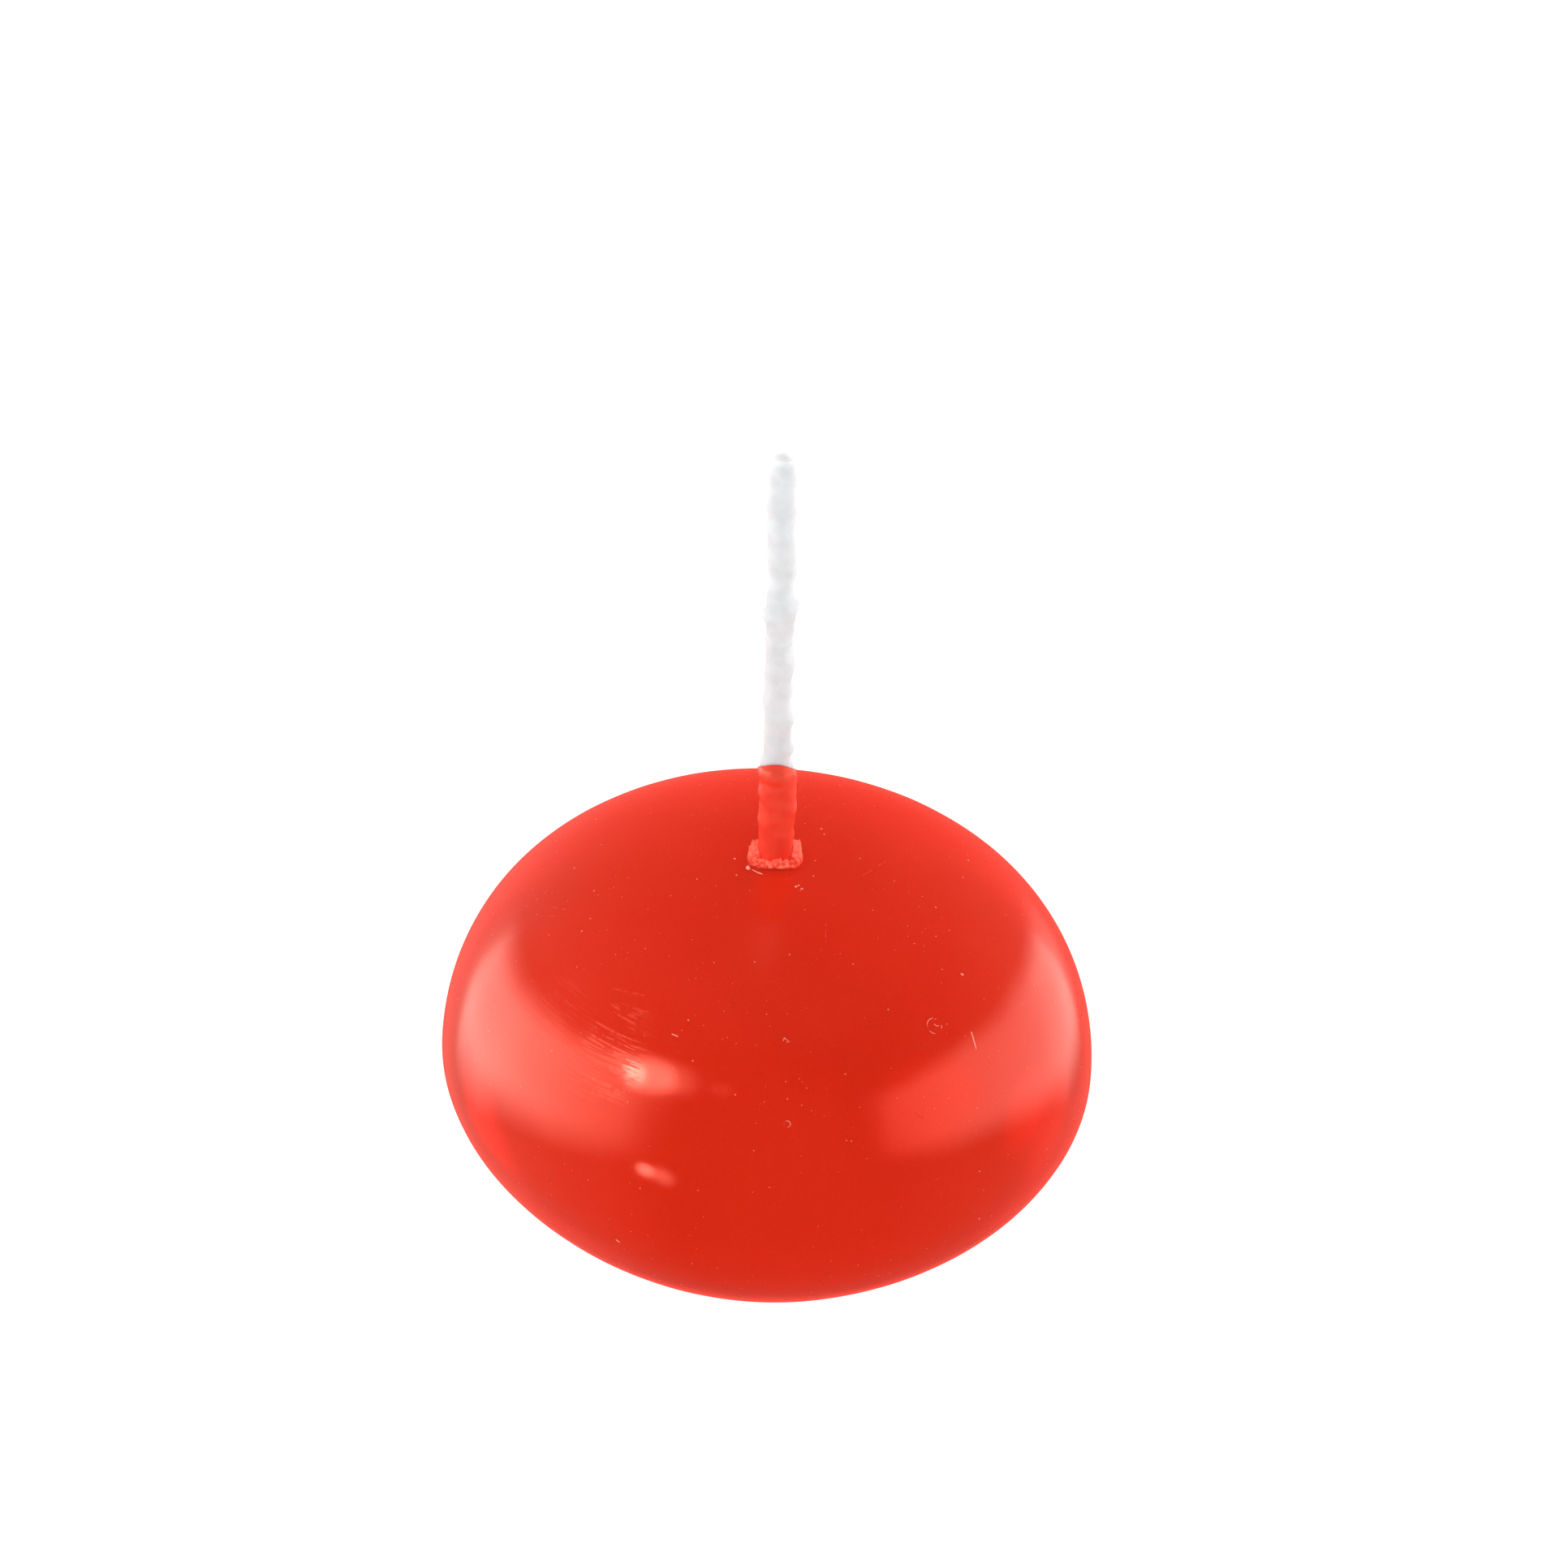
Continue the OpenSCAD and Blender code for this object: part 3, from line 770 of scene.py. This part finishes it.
def red_wax():
    net = Net("red wax")
    reach, turned, height = bore_coordinates(net)
    in_bits = net.ramp(net.noise(size=0.35, detail=1), 0.42, 0.58, 0.0, 0.6)
    dust, pale, dark = skin_marks(net, in_bits)
    scratch = skin_scratches(net, in_bits, reach, turned, height)

    cloud = net.ramp(net.noise(size=14, detail=2), 0.35, 0.65)
    grain = net.ramp(net.noise(size=0.14, detail=1), 0.3, 0.7)
    tone = net.math("MULTIPLY_ADD", grain, 0.5, net.times(cloud, 0.5))
    base = net.mix(tone, *WAX_COLOURS)
    base = net.mix(net.times(scratch, 0.2), base, SCRATCH_COLOUR)

    # Torn wax is paler and rough. It also has a faint painted glow, an emission that stands in for light
    # passing through the thin wax, and is too weak to be worth aiming rays at.
    torn = net.times(net.ramp(reach, *TORN_REACH), net.ramp(height, *TORN_HEIGHT))
    crumbled = net.ramp(net.noise(size=0.3, detail=3, roughness=0.6), 0.38, 0.66)
    broken = net.mix(crumbled, *TORN_COLOURS)
    broken = net.mix(net.times(net.ramp(height, *TALL_HEIGHT), 0.6), broken, TALL_TORN_COLOUR)
    base = net.mix(torn, base, broken)
    painted_glow = net.times(torn, net.ramp(crumbled, 0.0, 1.0, 0.08, 0.24))
    net.material.cycles.emission_sampling = "NONE"

    base = net.mix(pale, base, PALE_COLOUR)
    base = net.mix(net.times(dark, 0.6), base, DARK_COLOUR)

    # The top of the dome is duller than its sides, and so are dust, scratches and torn wax
    rough = net.ramp(height, 24.5, 28.0, 0.09, 0.24)
    rough = net.times(rough, net.ramp(net.noise(size=5, detail=3), 0.3, 0.7, 0.9, 1.1))
    spots = (net.ball(centre, radius, DULL_SOFT, DULL_STRENGTH) for centre, radius in DULL)
    dull = net.most(dust, scratch, *spots)
    rough = net.math("ADD", rough, net.times(dull, 0.3))
    rough = net.most(rough, net.times(torn, 0.6))

    # Seen along the skin the wax mirrors less than clear plastic would, and torn wax mirrors nothing
    facing_away = net.add("ShaderNodeLayerWeight", {"Blend": 0.5}).outputs["Facing"]
    mirror = net.times(net.ramp(torn, 0, 1, 1.0, 0.0), net.ramp(facing_away, 0.7, 0.95, 1.0, 0.38))
    crumbs = net.times(torn, net.noise(size=0.2, detail=3, roughness=0.6))
    relief = net.math("MULTIPLY_ADD", crumbs, 2.0, net.times(net.noise(size=0.8, detail=2), 0.12))
    return net.shade(
        base_color=base, roughness=rough, ior=1.5, normal=net.bump(relief, 0.5, 0.02),
        specular_ior_level=mirror, specular_tint=colour(1.0, 0.245, 0.2),
        # The emission is the torn wax's painted glow
        emission_color=colour(1.0, 0.16, 0.1), emission_strength=painted_glow,
        sheen_weight=0.3, sheen_roughness=0.25, sheen_tint=colour(1.0, 0.15, 0.1),
        subsurface_weight=net.ramp(torn, 0, 1, 0.7, 0.0),
        subsurface_radius=(1.0, 0.25, 0.12), subsurface_scale=2.5 * MM,
    )


def thin_red_wax():
    net = Net("thin red wax")
    cloud = net.ramp(net.noise(size=1.6, detail=2), 0.35, 0.65)
    base = net.mix(cloud, colour(0.86, 0.045, 0.022), colour(0.9, 0.062, 0.03))
    rough = net.ramp(net.noise(size=1, detail=3), 0.3, 0.7, 0.3, 0.38)
    return net.shade(
        base_color=base, roughness=rough, ior=1.44,
        normal=net.bump(net.noise(size=0.35, detail=3), 0.35, 0.02),
        specular_ior_level=0.8, specular_tint=colour(1.0, 0.6, 0.5),
        subsurface_weight=0.2, subsurface_radius=(1.0, 0.3, 0.15), subsurface_scale=0.3 * MM,
    )


def primed_cotton():
    net = Net("primed cotton")
    cloud = net.ramp(net.noise(size=1.2, detail=3), 0.3, 0.7)
    base = net.mix(cloud, colour(0.66, 0.673, 0.681), colour(0.72, 0.734, 0.743))
    # Pits are sunk by the bump, and painted shade darkens their colour
    pits_with_painted_shade = net.specks(0.7, 0.12, 0.07)
    base = net.mix(net.times(pits_with_painted_shade, 0.4), base, colour(0.45, 0.44, 0.42))
    thread = net.noise(size=0.5, detail=2, at=net.stretched((3.0, 3.0, 1.0), (0.5, 0, 0)))
    height = net.math("MULTIPLY_ADD", net.noise(size=0.28, detail=3), 0.5, net.times(thread, 0.5))
    height = net.math("MULTIPLY_ADD", pits_with_painted_shade, -0.6, height)
    return net.shade(
        base_color=base, roughness=net.ramp(cloud, 0.0, 1.0, 0.42, 0.55), ior=1.43,
        normal=net.bump(height, 0.5, 0.06),
        subsurface_weight=1.0, subsurface_radius=(1.0, 0.95, 0.9), subsurface_scale=1.2 * MM,
    )


def tinplate():
    net = Net("tinplate")
    grain = net.noise(size=0.4, detail=2, at=net.stretched((0.15, 3.0, 1.0)))
    base = net.mix(grain, colour(0.52, 0.53, 0.54), colour(0.68, 0.69, 0.7))
    rough = net.ramp(net.noise(size=1.5, detail=3), 0.3, 0.7, 0.28, 0.42)
    return net.shade(base_color=base, metallic=1.0, roughness=rough, normal=net.bump(grain, 0.3, 0.01))


# Stage, light and camera

# The floor's radius and height from its middle outwards, in metres
FLOOR_PROFILE = (
    (0.2, 0.0), (0.6, 0.0), (1.2, 0.0), (1.6, 0.02), (2.0, 0.08), (2.4, 0.18), (2.8, 0.34), (3.1, 0.5),
)
FLOOR_POINTS = 96


def stage():
    """A pale floor that rises far out into a low wall."""
    angles = round_steps(FLOOR_POINTS)
    n = len(angles)
    verts, faces = [(0.0, 0.0, 0.0)], []
    for r, z in FLOOR_PROFILE:
        verts += [(r * math.cos(a), r * math.sin(a), z) for a in angles]
    faces += [(0, 1 + j, 1 + (j + 1) % n) for j in range(n)]
    for k in range(len(FLOOR_PROFILE) - 1):
        low, high = 1 + k * n, 1 + (k + 1) * n
        faces += [(low + j, low + (j + 1) % n, high + (j + 1) % n, high + j)[::-1] for j in range(n)]
    mesh = bpy.data.meshes.new("floor")
    mesh.from_pydata(verts, [], faces)
    mesh.shade_smooth()
    floor = bpy.data.objects.new("floor", mesh)
    bpy.context.scene.collection.objects.link(floor)
    net = Net("pale floor")
    tone = net.ramp(net.noise(size=60, detail=2), 0.3, 0.7)
    base = net.mix(tone, colour(0.2, 0.2, 0.2), colour(0.22, 0.22, 0.22))
    floor.data.materials.append(net.shade(
        base_color=base, roughness=0.9, specular_ior_level=0.0,
        emission_color=colour(1, 1, 1), emission_strength=1.0,
    ))
    floor.visible_glossy = False


def direction(azimuth, elevation):
    """Azimuth 0 is in front and 90 is on the right."""
    a, e = math.radians(azimuth), math.radians(elevation)
    return Vector((math.sin(a) * math.cos(e), -math.cos(a) * math.cos(e), math.sin(e)))


# The panels' light, a little cool, and each panel: name, azimuth, elevation, size in metres, power
COOL = (0.97, 0.985, 1.0)
FILLS = (
    ("fill_overhead", 0, 88, 0.9, 6.4), ("fill_right", 115, 12, 0.8, 6.9),
    ("fill_left", -110, 15, 0.8, 5.8),
    ("fill_back", 168, 24, 0.8, 4.9), ("fill_front", 5, 38, 0.8, 2.9),
    ("fill_left_front", -60, 5, 0.8, 4.1), ("fill_right_front", 60, 5, 0.8, 2.0),
)


def fill(name, azimuth, elevation, size, power):
    """A large soft panel that looks at the body's middle from a metre away and isn't mirrored in it."""
    way = direction(azimuth, elevation)
    data = bpy.data.lights.new(name, "AREA")
    data.shape = "RECTANGLE"
    data.size = data.size_y = size
    data.energy = power
    data.color = COOL
    light = bpy.data.objects.new(name, data)
    light.location = Vector((0, 0, EQUATOR_H * MM)) + way
    light.rotation_euler = way.to_track_quat("Z", "Y").to_euler()
    light.visible_glossy = False
    bpy.context.scene.collection.objects.link(light)


# What the candle mirrors. The walls are dim and even.
WALLS = 0.07
WARM = (1.0, 0.985, 0.88, 1.0)
# Two long soft boxes: elevations of the upper and the lower edge by azimuth, how far the light fades
# in above the lower edge and below the upper one, and its level by azimuth
SOFT_BOXES = (
    (
        (
            (-150, -5), (-140, 12), (-130, 14), (-120, 18), (-110, 23), (-100, 27), (-80, 36),
            (-60, 46), (-40, 48),
        ),
        (
            (-150, -30), (-130, -34), (-120, -34), (-100, -28), (-80, -22), (-60, -16), (-40, -8),
        ),
        (20, 17),
        (
            (-145, 0), (-139, 0.3), (-131, 2.2), (-120, 2.8), (-110, 3.6), (-100, 4.3), (-90, 4.4),
            (-80, 4.2), (-70, 3.5), (-60, 2.9), (-50, 2.1), (-42, 0.8), (-34, 0),
        ),
    ),
    (
        (
            (40, 42), (60, 41), (80, 39), (90, 37), (100, 33), (110, 29), (120, 25), (130, 19),
            (140, 11), (155, 0),
        ),
        (
            (40, 0), (60, -6), (80, -11), (100, -18), (120, -26), (130, -29), (150, -26),
        ),
        (16, 13),
        (
            (36, 0), (42, 0.3), (50, 1.2), (60, 1.7), (70, 2.0), (80, 2.3), (90, 2.3), (110, 2.0),
            (120, 1.85), (130, 1.9), (140, 1.8), (147, 0.7), (153, 0.3), (160, 0),
        ),
    ),
)
LEVEL_RANGE = (0, 8)
# Lamps and soft patches: azimuth, elevation, half width, softness and level. A window frame's
# straight edge, given by two directions on it, cuts the first kind off on the left.
FRAMED_SPOTS = (
    (-56.5, 33.5, 4, 3.5, 16.0), (-58.3, 34.6, 1.6, 1.6, 22.0), (-48, 37.5, 3.5, 7, 7.0),
    (-38, 41, 3, 7, 2.0),
)
FRAME_EDGE = ((-59.8, 34.1), (-53.4, 24.5))
FRAME_SOFT = 0.006
SPOTS = (
    (-19, 43.2, 2.2, 2.5, 0.6), (-37, -8, 1.2, 3.2, 10.5), (-31, -8.2, 0.8, 5, 4.0),
    (-105, 0, 30, 55, 0.4), (110, 0, 30, 50, 0.2),
)
# Red glows: one low behind the candle, which its skin mirrors along its outline, one under it, and the
# others along the soft boxes' lower edges and in the right one, where the photograph's red is fuller
GLOWS = (
    (180, -14, 26, 24, 1.0), (180, -60, 22, 12, 0.26), (-135, -52, 8, 12, 0.4), (-112, -33, 5, 13, 1.7),
    (130, -42, 8, 12, 0.55), (116, -23, 4, 14, 1.2), (100, -12, 6, 10, 1.5), (62, 20, 12, 16, 1.3),
)
GLOW_TINT = (1.0, 0.02, 0.01, 1.0)


class Sky(Nodes):
    """The studio that the candle mirrors: dim walls, two long soft boxes, small lamps and red glows."""

    def __init__(self):
        world = bpy.data.worlds.new("studio")
        bpy.context.scene.world = world
        # The studio is only mirrored. The fill lights do the rest.
        world.cycles_visibility.diffuse = False
        world.use_nodes = True
        super().__init__(world.node_tree)
        self.ray = self.add("ShaderNodeTexCoord").outputs["Generated"]
        x, y, z = self.add("ShaderNodeSeparateXYZ", {0: self.ray}).outputs
        azimuth = self.math("ARCTAN2", x, self.math("MULTIPLY", y, -1))
        self.turned = self.math("MULTIPLY_ADD", azimuth, 1 / FULL_TURN, 0.5)
        self.elevation = self.math("MULTIPLY", self.math("ARCSINE", z), 180 / math.pi)
        level = self.math("ADD", self.total(self.soft_box, SOFT_BOXES), WALLS)
        level = self.math("ADD", level, self.total(self.spot, SPOTS))
        edge = direction(*FRAME_EDGE[0]).cross(direction(*FRAME_EDGE[1])).normalized()
        inside_frame = self.ramp(self.vector("DOT_PRODUCT", self.ray, edge), -FRAME_SOFT, FRAME_SOFT)
        level = self.math("MULTIPLY_ADD", self.total(self.spot, FRAMED_SPOTS), inside_frame, level)
        red_level = self.total(self.spot, GLOWS)
        light = self.add("ShaderNodeBackground", {"Color": WARM, "Strength": level})
        glow = self.add("ShaderNodeBackground", {"Color": GLOW_TINT, "Strength": red_level})
        both = self.add("ShaderNodeAddShader", {0: light.outputs[0], 1: glow.outputs[0]})
        self.add("ShaderNodeOutputWorld", {"Surface": both.outputs[0]})

    def total(self, kind, rows):
        first, *others = (kind(*row) for row in rows)
        for other in others:
            first = self.math("ADD", first, other)
        return first

    def curve(self, points, low, high):
        """A value between low and high that follows the azimuth through these points."""
        node = self.add("ShaderNodeFloatCurve", {"Value": self.turned})
        curve = node.mapping.curves[0]
        places = [(a / 360 + 0.5, (v - low) / (high - low)) for a, v in points]
        curve.points[0].location = places[0]
        curve.points[1].location = places[-1]
        for place in places[1:-1]:
            curve.points.new(*place)
        for point in curve.points:
            point.handle_type = "AUTO_CLAMPED"
        node.mapping.extend = "HORIZONTAL"
        node.mapping.update()
        return self.math("MULTIPLY_ADD", node.outputs[0], high - low, low)

    def soft_box(self, upper, lower, softness, levels):
        over = self.math("SUBTRACT", self.elevation, self.curve(lower, -90, 90))
        under = self.math("SUBTRACT", self.curve(upper, -90, 90), self.elevation)
        inside = self.times(self.ramp(over, 0, softness[0]), self.ramp(under, 0, softness[1]))
        return self.times(inside, self.most(self.curve(levels, *LEVEL_RANGE), 0.0))

    def spot(self, azimuth, elevation, wide, softness, level):
        toward = self.vector("DOT_PRODUCT", self.ray, direction(azimuth, elevation))
        off = self.math("ARCCOSINE", toward)
        return self.ramp(off, math.radians(wide + softness), math.radians(wide), 0.0, level)


# The camera, fitted to the photograph: its frame and focal length in pixels, the pixel that looks at
# the body's middle, its distance in metres and its roll in degrees
FRAME_PX = 1932.0
FOCAL_PX = 14252.0
TARGET_PX = (945.1, 1293.5)
CAMERA_DISTANCE = 0.8
CAMERA_ROLL = 3.96
SENSOR_WIDTH = 36.0


def camera():
    """The photograph's view: in front, from above, with a long lens and a slight roll."""
    roll = math.radians(CAMERA_ROLL)
    elevation = math.radians(VIEW_ELEVATION)
    target = Vector((0, 0, EQUATOR_H * MM))
    right, up = Vector((1, 0, 0)), Vector((0, math.sin(elevation), math.cos(elevation)))
    rolled_right = right * math.cos(roll) + up * math.sin(roll)
    rolled_up = up * math.cos(roll) - right * math.sin(roll)
    facing_target = Matrix((rolled_right, rolled_up, VIEW_BACK)).transposed()
    across, down = (px - FRAME_PX / 2 for px in TARGET_PX)
    to_target = Vector((across, -down, -FOCAL_PX)).normalized()
    turn = to_target.rotation_difference(Vector((0, 0, -1))).to_matrix()
    data = bpy.data.cameras.new("camera")
    data.sensor_width = SENSOR_WIDTH
    data.lens = FOCAL_PX / FRAME_PX * SENSOR_WIDTH
    data.clip_start, data.clip_end = 0.05, 10.0
    eye = bpy.data.objects.new("camera", data)
    place = Matrix.Translation(target + VIEW_BACK * CAMERA_DISTANCE)
    eye.matrix_world = place @ (facing_target @ turn).to_4x4()
    bpy.context.scene.collection.objects.link(eye)
    bpy.context.scene.camera = eye


camera()
stage()
Sky()
for panel in FILLS:
    fill(*panel)

wax_body().data.materials.append(red_wax())
wick().data.materials.append(primed_cotton())
coat().data.materials.append(thin_red_wax())
sustainer().data.materials.append(tinplate())

scene = bpy.context.scene
scene.view_settings.view_transform = "Standard"
scene.view_settings.look = "None"
scene.cycles.use_denoising = True
